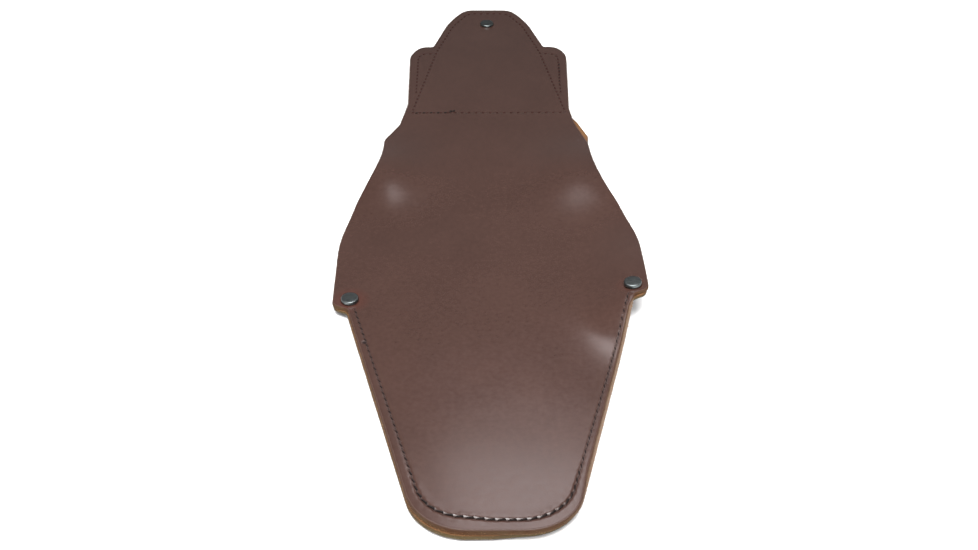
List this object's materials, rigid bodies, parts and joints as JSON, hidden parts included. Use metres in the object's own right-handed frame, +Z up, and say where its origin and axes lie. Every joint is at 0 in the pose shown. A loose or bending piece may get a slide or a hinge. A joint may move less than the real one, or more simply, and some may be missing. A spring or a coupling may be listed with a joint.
{
  "type": "fold-over leather case",
  "caption": "Fold-over leather case lying open: a tapered sewn pocket with riveted mouth corners, and a closing flap with a neck, rounded shoulders and a bell-shaped snap tongue.",
  "frame": {"origin": "centre of the opened case's footprint on the table, at the height of its lowest fastener", "axes": "+Y along the case from the rounded pocket end to the tongue's tip, +Z up out of the grain side"},
  "size_m": [0.1594, 0.481, 0.0101],
  "materials": {
    "grain_leather": "dark brown smooth grain, satin",
    "panel_leather": "dark brown smooth grain outside, raw tan cut edge",
    "lining_leather": "raw tan flesh side",
    "thread": "waxed dark brown thread",
    "gunmetal": "dark gunmetal plating, polished"
  },
  "bodies": {
    "pocket": {"sheet_pocket_section": "grain_leather", "pocket_panel": "panel_leather", "pocket_seam_thread": "thread", "left_rivet_cap": "gunmetal", "left_rivet_post": "gunmetal", "right_rivet_cap": "gunmetal", "right_rivet_post": "gunmetal", "snap_stud": "gunmetal", "snap_stud_post": "gunmetal"},
    "spine": {"sheet_spine_section": "grain_leather"},
    "flap": {"sheet_flap_section": "grain_leather", "neck_backing": "lining_leather", "flap_lining": "lining_leather", "neck_row_thread": "thread", "tongue_seam_thread": "thread", "left_shoulder_thread": "thread", "right_shoulder_thread": "thread", "snap_cap": "gunmetal", "snap_socket": "gunmetal"}
  },
  "joints": [
    {"name": "spine_fold", "type": "hinge", "parent": "pocket", "child": "spine", "pos_m": [0, -0.0155, 0.0054], "axis": [-1, 0, 0], "range_deg": [0, 90]},
    {"name": "flap_fold", "type": "hinge", "parent": "spine", "child": "flap", "pos_m": [0, 0.0195, 0.0054], "axis": [-1, 0, 0], "range_deg": [0, 97]}
  ]
}
